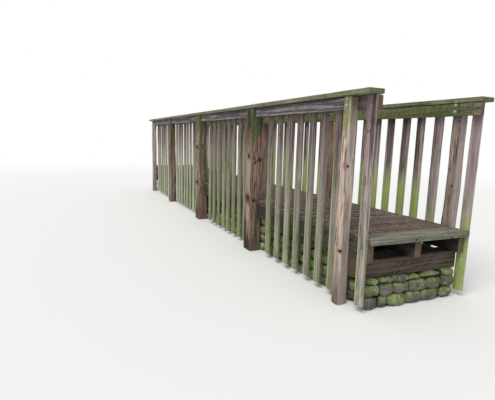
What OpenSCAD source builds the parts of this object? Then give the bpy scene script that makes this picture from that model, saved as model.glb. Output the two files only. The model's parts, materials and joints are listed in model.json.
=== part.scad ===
// Timber footbridge with two picket balustrades, a boarded deck and two stepped stone abutments.
// +X runs along the bridge, +Y points to the left balustrade and +Z is up.
// The origin lies under the middle of the bridge, level with the water.

/* [Bridge] */
// Length of each handrail cap
bridge_length = 7500; // [6500:50:8500]
// Width over the two handrail caps
bridge_width = 1230; // [1130:10:1500]
// Height of the walking surface above the water
deck_height = 600; // [550:10:800]
// Height of the handrail above the walking surface
rail_height = 1100; // [900:10:1200]
// How far the left balustrade stands ahead of the right one
stagger = 80; // [0:10:120]

/* [Posts] */
// Width of the two end posts along the bridge
end_post_width = 90; // [80:5:120]
// Width of the second and third posts along the bridge
main_post_width = 190; // [140:5:210]
// Width of the fourth post along the bridge
slim_post_width = 140; // [110:5:180]
// Depth of the end posts across the bridge
end_post_depth = 90; // [85:5:110]
// Depth of the second and third posts across the bridge
main_post_depth = 140; // [100:5:150]
// Depth of the fourth post across the bridge
slim_post_depth = 120; // [100:5:150]
// Mean radius of the waney corners left by the round of the log
wane_radius = 26; // [12:1:32]
// How much the waney corners widen and narrow up the log
wane_change = 0.35; // [0:0.05:0.5]
// How much thicker a log is at its foot than at its top
log_taper = 0.04; // [0:0.01:0.08]
// The same for the two slimmer end posts
end_log_taper = 0.12; // [0:0.01:0.14]
// How far the first right post stands nearer to the end than its twin
near_post_shift = 40; // [0:5:60]
// How far a log bends out of line along the bridge
log_crook = 5; // [0:1:10]

/* [Balustrade] */
// Width of the flat handrail cap
cap_width = 155; // [140:5:200]
// How much further the right cap and inner rail reach at the near end, and the left ones at the far end
long_end = 20; // [0:5:40]
// Thickness of the handrail cap
cap_thickness = 44; // [30:2:60]
// Radius of the worn arrises of the cap and rails
worn_radius = 6; // [1:1:10]
// Height of the long rail bolted to the inner side of the posts
inner_rail_height = 108; // [90:2:130]
// Thickness of the long inner rail
inner_rail_thickness = 50; // [35:5:60]
// Height of the short rails between the posts on the outer side
outer_rail_height = 100; // [80:2:110]
// Thickness of the short outer rails
outer_rail_thickness = 40; // [25:1:45]
// Width of a picket
picket_width = 88; // [70:2:100]
// Thickness of a picket
picket_thickness = 22; // [16:1:30]
// Radius of the worn arrises of a picket
picket_radius = 3; // [1:1:6]
// Height of the lower ends of the pickets above the water
picket_foot = 50; // [20:5:200]

/* [Deck] */
// Number of deck boards, the two end boards included
board_count = 38; // [38:4:42]
// Thickness of a deck board
board_thickness = 50; // [35:5:60]
// Gap between two deck boards
board_gap = 8; // [4:1:12]
// How far the end boards reach past the shorter cap ends
deck_overhang = 20; // [0:5:60]
// Width of a stringer under the deck
stringer_width = 75; // [60:5:100]
// Height of a stringer under the deck
stringer_height = 150; // [120:10:180]

/* [Abutments] */
// Length of the lowest course of an abutment
abutment_length = 3360; // [2800:20:3400]
// How much each course steps back from the one below
course_step = 190; // [80:10:260]
// Number of stone courses
course_count = 4; // [3:1:6]
// Width of the timber sill in its seat behind the abutment
sill_width = 130; // [100:10:160]
// Height of the timber sill
sill_height = 150; // [100:10:180]

/* [Hidden] */
$fn = 48;

side_y = bridge_width / 2;
skew = stagger / bridge_width;

rail_top = deck_height + rail_height;
cap_base = rail_top - cap_thickness;
board_base = deck_height - board_thickness;
stringer_base = board_base - stringer_height;

// Distances inwards from the outer edge of the handrail cap
post_inset = 5;
end_post_inset = 15;
frame_inset = 100;
picket_inset = frame_inset - picket_thickness;
outer_rail_inset = picket_inset - outer_rail_thickness;

// Centres of the posts of one side, from the middle of its cap
post_x = [
    -bridge_length / 2 + 260,
    -bridge_length / 2 + 1930,
    75,
    bridge_length / 2 - 1900,
    bridge_length / 2 - 260
];
post_width = [end_post_width, main_post_width, main_post_width, slim_post_width, end_post_width];
post_depth = [end_post_depth, main_post_depth, main_post_depth, slim_post_depth, end_post_depth];
post_insets = [end_post_inset, post_inset, post_inset, post_inset, end_post_inset];
post_taper = [end_log_taper, log_taper, log_taper, log_taper, end_log_taper];

// Pickets of each bay: how many, and how far the first centre is from the post before
bay_pickets = [7, 8, 8, 7];
bay_offset = [145, 220, 250, 215];
bay_pitch = [188, 181, 177, 184];
picket_wander = 7;
end_setback = 5;
rail_setback = 5;

log_rings = 10;
ring_points = 20;

deck_length = bridge_length + 2 * deck_overhang;
board_width = (deck_length - (board_count - 1) * board_gap) / board_count;
board_pitch = board_width + board_gap;
boards_per_bay = (board_count - 2) / 4;
deck_side = side_y - frame_inset;

stringer_inset = 40;
crossbeam_width = 120;
seat_offset = 90;
masonry_gap = 10;
masonry_side = side_y - post_inset - main_post_depth - masonry_gap;
course_height = stringer_base / course_count;

// Places a piece drawn for the left side on the left (1) or the right (-1)
module on_side(side) {
    translate([side * stagger / 2, 0, 0])
        mirror([0, side > 0 ? 0 : 1, 0])
            children();
}

// Space along the bridge, at a distance in from the cap's outer edge
module timber(x_from, x_to, inset, thickness, z_from, z_to) {
    translate([x_from, side_y - inset - thickness, z_from])
        cube([x_to - x_from, thickness, z_to - z_from]);
}

// Rectangle with its corners worn round
module worn_section(width, depth, radius) {
    square([width, depth - 2 * radius], center = true);
    square([width - 2 * radius, depth], center = true);
    for (sx = [-1, 1], sy = [-1, 1])
        translate([sx * (width / 2 - radius), sy * (depth / 2 - radius)])
            circle(radius);
}

// Horizontal timber with worn arrises, placed as a timber is
module worn_timber(x_from, x_to, inset, thickness, z_from, z_to) {
    translate([x_from, side_y - inset - thickness / 2, (z_from + z_to) / 2])
        rotate([90, 0, 90])
            linear_extrude(x_to - x_from)
                worn_section(thickness, z_to - z_from, worn_radius);
}

// Piece laid across the bridge, its ends cut to the stagger of the two sides
module across(x_from, x_to, y_half, z_from, z_to) {
    translate([0, 0, z_from])
        linear_extrude(z_to - z_from)
            polygon([
                [x_from - skew * y_half, -y_half],
                [x_to - skew * y_half, -y_half],
                [x_to + skew * y_half, y_half],
                [x_from + skew * y_half, y_half]
            ]);
}

// One ring of points round a squared log, five to each waney corner
function log_ring(width, depth, height, taper, z, seed) =
    let (
        swell = 1 + taper * (0.5 - z / height),
        half_w = width * swell / 2,
        half_d = depth * swell / 2,
        crook = log_crook * sin(150 * z / height + 90 * seed)
    )
    [
        for (corner = [0 : 3], step = [0 : 4])
            let (
                sx = corner == 0 || corner == 3 ? 1 : -1,
                sy = corner < 2 ? 1 : -1,
                r = wane_radius * (1 + wane_change * sin(360 * z / height + 110 * corner + 73 * seed)),
                a = 90 * corner + 22.5 * step
            )
            [sx * (half_w - r) + r * cos(a) + crook, sy * (half_d - r) + r * sin(a), z]
    ];

// Standing log with waney corners, its foot on the ground
module waney_log(width, depth, height, taper, seed) {
    points = [
        for (k = [0 : log_rings])
            each log_ring(width, depth, height, taper, height * k / log_rings, seed)
    ];
    sides = [
        for (k = [0 : log_rings - 1], i = [0 : ring_points - 1])
            let (
                low = k * ring_points + i,
                next = k * ring_points + (i + 1) % ring_points
            )
            each [
                [low, low + ring_points, next + ring_points],
                [low, next + ring_points, next]
            ]
    ];
    foot = [for (i = [0 : ring_points - 1]) i];
    head = [for (i = [ring_points - 1 : -1 : 0]) log_rings * ring_points + i];
    polyhedron(points, concat([foot], sides, [head]));
}

// Centre of a post of one side
function post_place(side, i) = post_x[i] - (side < 0 && i == 0 ? near_post_shift : 0);

// Post from the ground to the underside of the cap, housed over the rail, deck and stringer
module post(side, i) {
    x = post_place(side, i);
    width = post_width[i];
    depth = post_depth[i];
    color("peru") on_side(side)
        difference() {
            translate([x, side_y - post_insets[i] - depth / 2, 0])
                waney_log(width, depth, cap_base, post_taper[i], i + (side > 0 ? 0 : 5));
            timber(x - width, x + width, frame_inset, depth,
                   cap_base - inner_rail_height, rail_top);
            timber(x - width, x + width, frame_inset, depth,
                   stringer_base, deck_height);
        }
}

module picket(x) {
    translate([x, side_y - picket_inset - picket_thickness / 2, picket_foot])
        linear_extrude(cap_base - picket_foot)
            worn_section(picket_width, picket_thickness, picket_radius);
}

module bay_of_pickets(side, bay) {
    first = post_x[bay] + bay_offset[bay];
    color("rosybrown") on_side(side)
        for (i = [0 : bay_pickets[bay] - 1])
            picket(first + i * bay_pitch[bay] + picket_wander * sin(137 * (i + 3 * bay)));
}

module end_picket(side, end) {
    color("rosybrown") on_side(side)
        picket(end * (bridge_length / 2 - picket_width / 2 - end_setback));
}

// Short rails that fill the outer side between neighbouring posts
module outer_rails(side) {
    color("lightslategray") on_side(side)
        for (i = [0 : 3])
            worn_timber(post_place(side, i) + post_width[i] / 2, post_x[i + 1] - post_width[i + 1] / 2,
                        outer_rail_inset, outer_rail_thickness,
                        cap_base - outer_rail_height, cap_base);
}

// Near and far end of the cap of one side
function cap_end(side, end) = end * (bridge_length / 2 + (end == side ? long_end : 0));

module inner_rail(side) {
    color("olivedrab") on_side(side)
        worn_timber(cap_end(side, -1) + rail_setback, cap_end(side, 1) - rail_setback, frame_inset,
                    inner_rail_thickness, cap_base - inner_rail_height, cap_base);
}

module cap(side) {
    color("darkolivegreen") on_side(side)
        worn_timber(cap_end(side, -1), cap_end(side, 1), 0, cap_width, cap_base, rail_top);
}

// Deck boards from one number to another, counted from the near end
module deck_boards(first, last) {
    for (i = [first : last]) {
        x = -deck_length / 2 + i * board_pitch;
        color("slategray") across(x, x + board_width, deck_side, board_base, deck_height);
    }
}

// Stringer with its outer face at a distance from the middle of the deck
module stringer(y) {
    half = deck_length / 2 - stringer_inset;
    color("dimgray") translate([skew * y - half, y - stringer_width / 2, stringer_base])
        cube([2 * half, stringer_width, stringer_height]);
}

module sill_near() {
    x = -bridge_length / 2 + seat_offset;
    color("saddlebrown")
        across(x, x + sill_width, deck_side, stringer_base - sill_height, stringer_base);
}

// Courses of stone that step back towards the bank, with a seat for the sill
module abutment_near() {
    back = -bridge_length / 2 + stringer_inset;
    seat_end = -bridge_length / 2 + seat_offset + sill_width;
    color("darkseagreen") difference() {
        for (i = [0 : course_count - 1])
            across(back, back + abutment_length - i * course_step, masonry_side,
                   i * course_height, (i + 1) * course_height);
        across(back - sill_width, seat_end, bridge_width,
               stringer_base - sill_height, deck_height);
    }
}

module crossbeam() {
    color("saddlebrown")
        across(post_x[2] - crossbeam_width / 2, post_x[2] + crossbeam_width / 2,
               side_y - post_inset - main_post_depth, stringer_base - crossbeam_width, stringer_base);
}

abutment_near();
rotate(180) abutment_near();  // abutment_far
sill_near();
rotate(180) sill_near();  // sill_far
crossbeam();
stringer(deck_side - stringer_width / 2);  // stringer_left
stringer(0);  // stringer_middle
stringer(stringer_width / 2 - deck_side);  // stringer_right
deck_boards(0, 0);  // end_board_near
deck_boards(1, boards_per_bay);  // deck_boards_1
deck_boards(boards_per_bay + 1, 2 * boards_per_bay);  // deck_boards_2
deck_boards(2 * boards_per_bay + 1, 3 * boards_per_bay);  // deck_boards_3
deck_boards(3 * boards_per_bay + 1, 4 * boards_per_bay);  // deck_boards_4
deck_boards(board_count - 1, board_count - 1);  // end_board_far
post(1, 0);  // post_left_1
post(1, 1);  // post_left_2
post(1, 2);  // post_left_3
post(1, 3);  // post_left_4
post(1, 4);  // post_left_5
post(-1, 0);  // post_right_1
post(-1, 1);  // post_right_2
post(-1, 2);  // post_right_3
post(-1, 3);  // post_right_4
post(-1, 4);  // post_right_5
bay_of_pickets(1, 0);  // pickets_left_1
bay_of_pickets(1, 1);  // pickets_left_2
bay_of_pickets(1, 2);  // pickets_left_3
bay_of_pickets(1, 3);  // pickets_left_4
bay_of_pickets(-1, 0);  // pickets_right_1
bay_of_pickets(-1, 1);  // pickets_right_2
bay_of_pickets(-1, 2);  // pickets_right_3
bay_of_pickets(-1, 3);  // pickets_right_4
end_picket(1, -1);  // end_picket_left_near
end_picket(1, 1);  // end_picket_left_far
end_picket(-1, -1);  // end_picket_right_near
end_picket(-1, 1);  // end_picket_right_far
outer_rails(1);  // outer_rails_left
outer_rails(-1);  // outer_rails_right
inner_rail(1);  // inner_rail_left
inner_rail(-1);  // inner_rail_right
cap(1);  // cap_left
cap(-1);  // cap_right
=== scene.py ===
import json
import math
import random

import bpy
from mathutils import Matrix, Vector

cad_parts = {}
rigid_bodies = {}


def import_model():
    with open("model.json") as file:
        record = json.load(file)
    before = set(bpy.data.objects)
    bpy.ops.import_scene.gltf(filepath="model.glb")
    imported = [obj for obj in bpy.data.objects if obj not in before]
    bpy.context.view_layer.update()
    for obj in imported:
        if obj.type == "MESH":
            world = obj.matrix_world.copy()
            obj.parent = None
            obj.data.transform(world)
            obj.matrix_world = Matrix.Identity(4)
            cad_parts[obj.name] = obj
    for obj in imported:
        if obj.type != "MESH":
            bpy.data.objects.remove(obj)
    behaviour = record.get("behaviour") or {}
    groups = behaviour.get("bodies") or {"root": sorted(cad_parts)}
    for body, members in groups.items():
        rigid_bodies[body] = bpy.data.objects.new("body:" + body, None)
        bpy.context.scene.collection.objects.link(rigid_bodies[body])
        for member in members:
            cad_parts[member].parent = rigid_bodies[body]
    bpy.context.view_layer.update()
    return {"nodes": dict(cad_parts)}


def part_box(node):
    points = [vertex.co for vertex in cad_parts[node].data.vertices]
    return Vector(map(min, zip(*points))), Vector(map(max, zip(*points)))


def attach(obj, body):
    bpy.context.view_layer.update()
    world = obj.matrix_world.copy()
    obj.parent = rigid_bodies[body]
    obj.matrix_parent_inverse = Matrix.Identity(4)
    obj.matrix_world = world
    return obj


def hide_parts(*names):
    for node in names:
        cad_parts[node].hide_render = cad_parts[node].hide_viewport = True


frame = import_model()
print("frame loaded:", len(frame["nodes"]), "nodes")

scene = bpy.context.scene
sides = {"left": 1, "right": -1}
alongX, alongY, alongZ = 0, 1, 2
benchSettings = {"sharpAngle": 50, "arrisSegments": 2, "solidGap": 0.02, "endFacing": 0.8, "sameEnd": 0.002,
                 "sameSpot": 1e-5}


# selecting, editing and finishing

def deselectAll():
    bpy.ops.object.select_all(action="DESELECT")


def makeActive(piece):
    deselectAll()
    piece.select_set(True)
    bpy.context.view_layer.objects.active = piece


def addBlock(name, low, high):
    low, high = Vector(low), Vector(high)
    deselectAll()
    bpy.ops.mesh.primitive_cube_add(size=1, location=(low + high) / 2)
    block = bpy.context.active_object
    block.name = name
    block.scale = high - low
    bpy.ops.object.transform_apply(location=False, rotation=False, scale=True)
    return block


def clearMarks(mesh):
    for group in (mesh.vertices, mesh.edges, mesh.polygons):
        group.foreach_set("select", [False] * len(group))


def markEdges(piece, test):
    mesh = piece.data
    clearMarks(mesh)
    for edge in mesh.edges:
        edge.select = test(*(mesh.vertices[i].co for i in edge.vertices))


def markFaces(piece, test):
    clearMarks(piece.data)
    for face in piece.data.polygons:
        face.select = test(face.center, face.normal)


def markPoints(piece, test):
    clearMarks(piece.data)
    for v in piece.data.vertices:
        v.select = test(v.co)


def inEditMode(piece, marks, steps):
    makeActive(piece)
    bpy.context.tool_settings.mesh_select_mode = (marks == "points", marks == "edges", marks == "faces")
    bpy.ops.object.mode_set(mode="EDIT")
    steps()
    bpy.ops.object.mode_set(mode="OBJECT")


def applyModifier(piece, kind, **settings):
    makeActive(piece)
    modifier = piece.modifiers.new(kind.lower(), kind)
    for name, value in settings.items():
        setattr(modifier, name, value)
    bpy.ops.object.modifier_apply(modifier=modifier.name)


def cutAcross(piece, axis, cuts):
    # rings of cuts along the grain, so that a timber can bow and wear unevenly
    reach = [v.co[axis] for v in piece.data.vertices]
    longEdge = 0.5 * (max(reach) - min(reach))
    markEdges(piece, lambda a, b: abs(a[axis] - b[axis]) > longEdge)
    inEditMode(piece, "edges", lambda: bpy.ops.mesh.subdivide(number_cuts=cuts))


def wearArrises(piece, radius):
    def bevelSharpEdges():
        bpy.ops.mesh.select_all(action="DESELECT")
        bpy.ops.mesh.edges_select_sharp(sharpness=math.radians(benchSettings["sharpAngle"]))
        bpy.ops.mesh.bevel(offset=radius, segments=benchSettings["arrisSegments"], affect="EDGES")
    inEditMode(piece, "edges", bevelSharpEdges)


def sawOff(piece, place, normal):
    # takes away all that lies beyond a plane and closes the cut
    def saw():
        bpy.ops.mesh.select_all(action="SELECT")
        bpy.ops.mesh.bisect(plane_co=place, plane_no=normal, use_fill=True, clear_outer=True)
    inEditMode(piece, "faces", saw)


def placeInMesh(piece):
    makeActive(piece)
    bpy.ops.object.transform_apply(location=True, rotation=True, scale=True)


def copyOf(master, name):
    makeActive(master)
    bpy.ops.object.duplicate(linked=False)
    twin = bpy.context.active_object
    twin.name = name
    return twin


def joinAll(name, parts):
    deselectAll()
    for part in parts:
        part.select_set(True)
    bpy.context.view_layer.objects.active = parts[0]
    if len(parts) > 1:
        bpy.ops.object.join()
    joined = bpy.context.active_object
    joined.name = name
    joined.data.name = name
    return joined


def discard(*pieces):
    deselectAll()
    for piece in pieces:
        piece.select_set(True)
    bpy.ops.object.delete()


def finishPiece(piece, material, nodes, smoothAngle=40):
    placeInMesh(piece)
    bpy.ops.object.shade_smooth_by_angle(angle=math.radians(smoothAngle))
    piece.data.materials.clear()
    piece.data.materials.append(material)
    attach(piece, "root")
    if nodes:
        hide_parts(*nodes)


def nodePoints(node):
    return [v.co for v in frame["nodes"][node].data.vertices]


def solidSpans(node):
    # start and end of each separate solid of a node whose points lie only at its two ends
    places = sorted(p.x for p in nodePoints(node))
    ends = [[places[0]]]
    for place in places[1:]:
        if place - ends[-1][-1] > benchSettings["solidGap"]:
            ends.append([])
        ends[-1].append(place)
    return [(ends[i][0], ends[i + 1][-1]) for i in range(0, len(ends), 2)]


# what each point of a timber knows about its place on the board

def nameSurface(piece, across, thick, along, inward=1):
    # boardPos: x from -1 to 1 over the width, y from -1 outside to 1 inside, z in metres from the foot
    # grainPos: the same place in metres from the heart of the board
    mesh = piece.data
    reach = []
    for axis in (across, thick, along):
        places = [v.co[axis] for v in mesh.vertices]
        reach.append((min(places), max(places)))
    board, grain = [], []
    for v in mesh.vertices:
        for axis, (low, high), turn in zip((across, thick), reach, (1, inward)):
            board.append(turn * (2 * (v.co[axis] - low) / (high - low) - 1))
            grain.append(turn * (v.co[axis] - (low + high) / 2))
        board.append(v.co[along] - reach[2][0])
        grain.append(v.co[along] - reach[2][0])
    mesh.attributes.new("boardPos", "FLOAT_VECTOR", "POINT").data.foreach_set("vector", board)
    mesh.attributes.new("grainPos", "FLOAT_VECTOR", "POINT").data.foreach_set("vector", grain)


def nameEnds(piece, along):
    # endGrain: 1 on the sawn ends
    mesh = piece.data
    ends = [float(abs(face.normal[along]) > benchSettings["endFacing"]) for face in mesh.polygons]
    mesh.attributes.new("endGrain", "FLOAT", "FACE").data.foreach_set("value", ends)


def setTone(piece, shade, algae, shift):
    # red is light or dark, green how much algae, blue which stretch of grain
    mesh = piece.data
    tone = mesh.attributes.new("boardTone", "FLOAT_COLOR", "POINT")
    tone.data.foreach_set("color", (shade, algae, shift, 1) * len(mesh.vertices))


# surface unevenness, made with clouds stretched along the grain

def cloudTexture(name, size, depth=2):
    texture = bpy.data.textures.new(name, "CLOUDS")
    texture.noise_scale = size
    texture.noise_depth = depth
    return texture


def grainGuide(name, scale):
    deselectAll()
    bpy.ops.object.empty_add(location=(0, 0, 0))
    guide = bpy.context.active_object
    guide.name = name
    guide.scale = scale
    return guide


guides = {
    alongX: grainGuide("grainAlongX", (7, 1, 1)),
    alongY: grainGuide("grainAlongY", (1, 7, 1)),
    alongZ: grainGuide("grainAlongZ", (1, 1, 7)),
    "stone": grainGuide("stoneGuide", (1, 1, 1)),
    "bowX": grainGuide("bowAlongX", (20, 20, 1)),
    "bowY": grainGuide("bowAlongY", (20, 20, -1)),
}
clouds = {
    "swell": cloudTexture("swell", 0.16),
    "ripple": cloudTexture("ripple", 0.035),
    "crook": cloudTexture("crook", 0.55, 1),
    "stoneLump": cloudTexture("stoneLump", 0.09, 3),
    "stoneGrain": cloudTexture("stoneGrain", 0.018, 3),
}
bpy.context.view_layer.update()


def roughen(piece, cloud, amount, guide, direction="NORMAL"):
    applyModifier(piece, "DISPLACE", texture=clouds[cloud], strength=amount, mid_level=0.5,
                  direction=direction, texture_coords="OBJECT", texture_coords_object=guides[guide])


def weather(piece, look, guide):
    roughen(piece, "swell", look["swell"], guide)
    roughen(piece, "ripple", look["ripple"], guide)


# node helpers

def put(tree, kind, feeds=None, **settings):
    node = tree.nodes.new(kind)
    for name, value in settings.items():
        setattr(node, name, value)
    feedInputs(tree, node, feeds or {})
    return node


def feedInputs(tree, node, feeds):
    for name, value in feeds.items():
        if isinstance(value, bpy.types.NodeSocket):
            tree.links.new(value, node.inputs[name])
        else:
            node.inputs[name].default_value = value


def maths(tree, operation, a, b=0.0, clamp=False):
    return put(tree, "ShaderNodeMath", {0: a, 1: b}, operation=operation, use_clamp=clamp).outputs[0]


def add(tree, *values):
    total = values[0]
    for value in values[1:]:
        total = maths(tree, "ADD", total, value)
    return total


def times(tree, *values):
    total = values[0]
    for value in values[1:]:
        total = maths(tree, "MULTIPLY", total, value)
    return total


def ramp(tree, value, low, high, toLow=0.0, toHigh=1.0):
    return put(tree, "ShaderNodeMapRange",
               {"Value": value, "From Min": low, "From Max": high, "To Min": toLow, "To Max": toHigh},
               interpolation_type="SMOOTHSTEP").outputs[0]


def cloudy(tree, vector, scale, detail=3.0, roughness=0.55):
    return put(tree, "ShaderNodeTexNoise",
               {"Vector": vector, "Scale": scale, "Detail": detail, "Roughness": roughness}).outputs[0]


def streaky(tree, vector, scale, detail, roughness=0.55):
    # a cloud drawn out along the grain
    return cloudy(tree, stretched(tree, vector, scale), 1.0, detail, roughness)


def mixed(tree, share, first, second, mode="MIX"):
    return put(tree, "ShaderNodeMix", {0: share, 6: first, 7: second}, data_type="RGBA",
               blend_type=mode, clamp_factor=True).outputs[2]


def vectors(tree, operation, a, b):
    return put(tree, "ShaderNodeVectorMath", {0: a, 1: b}, operation=operation).outputs[0]


def stretched(tree, vector, scale):
    return vectors(tree, "MULTIPLY", vector, scale)


def lengthOf(tree, vector):
    return put(tree, "ShaderNodeVectorMath", {0: vector}, operation="LENGTH").outputs["Value"]


def combined(tree, x, y, z):
    return put(tree, "ShaderNodeCombineXYZ", {0: x, 1: y, 2: z}).outputs[0]


def split(tree, vector):
    return put(tree, "ShaderNodeSeparateXYZ", {0: vector}).outputs


def paint(red, green, blue):
    # a colour given as it looks on screen, in 0 to 255
    def plain(v):
        v = v / 255
        return v / 12.92 if v <= 0.04045 else ((v + 0.055) / 1.055) ** 2.4
    return (plain(red), plain(green), plain(blue), 1.0)


def stored(tree, name, output="Vector"):
    return put(tree, "ShaderNodeAttribute", attribute_name=name).outputs[output]


def bumped(tree, height, strength, distance):
    return put(tree, "ShaderNodeBump", {"Strength": strength, "Distance": distance, "Height": height}).outputs[0]


def startMaterial(name):
    material = bpy.data.materials.new(name)
    material.use_nodes = True
    tree = material.node_tree
    return material, tree, tree.nodes["Principled BSDF"], put(tree, "ShaderNodeTexCoord").outputs["Object"]


def newGroup(name, takes, gives):
    # an input that starts as one number is a plain value, any other is a vector
    tree = bpy.data.node_groups.new(name, "ShaderNodeTree")
    for label, value in takes.items():
        kind = "Float" if isinstance(value, float) else "Vector"
        socket = tree.interface.new_socket(label, in_out="INPUT", socket_type="NodeSocket" + kind)
        if value is not None:
            socket.default_value = value
    for label in gives:
        kind = "Vector" if label == "Flow" else "Float"
        tree.interface.new_socket(label, in_out="OUTPUT", socket_type="NodeSocket" + kind)
    start = tree.nodes.new("NodeGroupInput")
    return tree, start.outputs, tree.nodes.new("NodeGroupOutput")


def useGroup(tree, group, feeds):
    node = tree.nodes.new("ShaderNodeGroup")
    node.node_tree = group
    feedInputs(tree, node, feeds)
    return node.outputs


# shared effects

spotTakes = {"Vector": None, "Centre": (0, 0, 0), "Reach": (1, 1, 1)}


def fromCentre(tree, take):
    # the way here from a known place, and its length measured in the reach of that place
    away = vectors(tree, "SUBTRACT", take["Vector"], take["Centre"])
    return away, lengthOf(tree, vectors(tree, "DIVIDE", away, take["Reach"]))


def makeKnotGroup():
    # one knot at a known place, the swirl round it, and how the grain bends past it
    tree, take, end = newGroup("knotSpot", spotTakes, ["Knot", "Swirl", "Flow"])
    away, distance = fromCentre(tree, take)
    pull = ramp(tree, distance, 4.0, 0.8, 0.0, 0.5)
    feedInputs(tree, end, {"Knot": ramp(tree, distance, 1.0, 0.7), "Swirl": ramp(tree, distance, 2.4, 1.0),
                           "Flow": stretched(tree, away, combined(tree, pull, pull, 0.0))})
    return tree


def makePlaceGroup():
    # a soft patch at a known place, ragged along the grain
    tree, take, end = newGroup("patchAt", spotTakes, ["Mask"])
    _, distance = fromCentre(tree, take)
    ragged = streaky(tree, take["Vector"], (60, 60, 7), 4.0, 0.65)
    feedInputs(tree, end, {"Mask": ramp(tree, add(tree, distance, times(tree, ragged, 1.6), -0.8), 1.0, 0.35)})
    return tree


def makeGrainGroup():
    # fibres, growth rings, knots and drying cracks; the grain runs along Z of the vector
    tree, take, end = newGroup(
        "woodGrain",
        {"Vector": None, "Flow": (0, 0, 0), "Shift": 0.0, "Fineness": 90.0, "RingWidth": 0.005,
         "PithDepth": 0.06, "Knots": 0.2, "KnotSize": 0.01, "Checks": 0.5, "Streak": (38, 38, 0.9)},
        ["Fibre", "Band", "Ring", "Check", "Fissure", "Knot", "Height"])
    shift, size, fineness = take["Shift"], take["KnotSize"], take["Fineness"]
    start = vectors(tree, "SUBTRACT", take["Vector"], take["Flow"])
    stretch = combined(tree, *(times(tree, shift, step) for step in (37.0, 19.0, 53.0)))
    moved = vectors(tree, "ADD", start, stretch)

    flat = stretched(tree, moved, (1, 0.15, 1))
    cells = put(tree, "ShaderNodeTexVoronoi", {"Vector": flat, "Scale": 6.0}).outputs
    chosen = maths(tree, "LESS_THAN", split(tree, cells["Color"])[0], take["Knots"])
    away = vectors(tree, "SUBTRACT", flat, cells["Position"])
    distance = lengthOf(tree, away)
    knot = times(tree, ramp(tree, distance, size, times(tree, size, 0.6)), chosen)
    pull = times(tree, ramp(tree, distance, times(tree, size, 6.0), size, 0.0, 0.85), chosen)
    bend = stretched(tree, away, combined(tree, pull, 0.0, 0.0))
    flowing = vectors(tree, "SUBTRACT", moved, bend)

    scale = combined(tree, fineness, fineness, times(tree, fineness, 0.022))
    fibre = streaky(tree, flowing, scale, 5.0, 0.65)
    streak = streaky(tree, flowing, take["Streak"], 4.0, 0.65)

    x, y, z = split(tree, vectors(tree, "SUBTRACT", start, bend))
    wobble = streaky(tree, moved, (5, 5, 1.3), 2.0, 0.4)
    side = add(tree, x, times(tree, add(tree, shift, -0.5), 0.09))
    deep = add(tree, y, take["PithDepth"])
    fromPith = maths(tree, "SQRT", add(tree, times(tree, side, side), times(tree, deep, deep)))
    rings = add(tree, fromPith, times(tree, wobble, 0.05), times(tree, z, 0.004))
    phase = maths(tree, "FRACT", maths(tree, "DIVIDE", rings, take["RingWidth"]))
    ring = times(tree, ramp(tree, phase, 0.3, 0.85), ramp(tree, phase, 1.0, 0.92))
    wide = maths(tree, "SINE", maths(tree, "DIVIDE", rings, times(tree, take["RingWidth"], 0.8)))
    band = add(tree, times(tree, streak, 0.7), times(tree, wide, 0.09), 0.15)

    lineCloud = streaky(tree, flowing, (24, 24, 0.8), 2.0, 0.4)
    line = ramp(tree, maths(tree, "ABSOLUTE", add(tree, lineCloud, -0.5)), 0.014, 0.004)
    where = ramp(tree, streaky(tree, moved, (9, 9, 1.3), 1.0), 0.5, 0.6)
    check = maths(tree, "MULTIPLY", times(tree, line, where), take["Checks"], clamp=True)

    gap = streaky(tree, flowing, (75, 75, 4.5), 4.0, 0.7)
    fissure = times(tree, ramp(tree, gap, 0.46, 0.37), ramp(tree, streak, 0.68, 0.46))
    raised = add(tree, times(tree, fibre, 0.5), times(tree, ring, 0.22), times(tree, streak, 0.3))
    sunk = add(tree, times(tree, check, 0.9), times(tree, knot, 0.2), times(tree, fissure, 0.6))
    feedInputs(tree, end, {"Fibre": fibre, "Band": band, "Ring": ring, "Check": check, "Fissure": fissure,
                           "Knot": knot, "Height": maths(tree, "SUBTRACT", raised, sunk)})
    return tree


def makeAlgaeGroup():
    # a thin green film, thickest where Wetness is high, thinned out in streaks along the grain
    tree, take, end = newGroup(
        "algaeFilm", {"Vector": None, "Wetness": 0.5, "Patch": 7.0, "Softness": 0.25}, ["Mask", "Tint"])
    here = take["Vector"]
    broad = cloudy(tree, here, take["Patch"], 4.0, 0.6)
    long = streaky(tree, here, (30, 30, 2.2), 3.0, 0.6)
    fine = cloudy(tree, here, times(tree, take["Patch"], 14.0), 3.0, 0.6)
    patch = add(tree, times(tree, broad, 0.4), times(tree, long, 0.3), times(tree, fine, 0.3))
    level = maths(tree, "SUBTRACT", take["Wetness"], patch)
    half = times(tree, take["Softness"], 0.5)
    tint = ramp(tree, add(tree, times(tree, fine, 0.55), times(tree, long, 0.45)), 0.34, 0.66)
    feedInputs(tree, end, {"Mask": ramp(tree, level, times(tree, half, -1.0), half), "Tint": tint})
    return tree


def makeArrisGroup():
    # closeness to the worn corners of a board, its narrow faces, its inner face and its outer far corner
    tree, take, end = newGroup("arrisWear", {"Place": None, "Start": 0.6}, ["Arris", "Narrow", "Inner", "Far"])
    x, y, _ = split(tree, take["Place"])
    wide = maths(tree, "ABSOLUTE", x)
    deep = maths(tree, "ABSOLUTE", y)
    feedInputs(tree, end, {"Arris": ramp(tree, maths(tree, "MINIMUM", wide, deep), take["Start"], 1.0),
                           "Narrow": ramp(tree, wide, 0.93, 0.99),
                           "Inner": ramp(tree, y, 0.5, 0.95),
                           "Far": times(tree, ramp(tree, x, 0.4, 0.8), ramp(tree, y, 0.4, -0.2))})
    return tree


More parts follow.
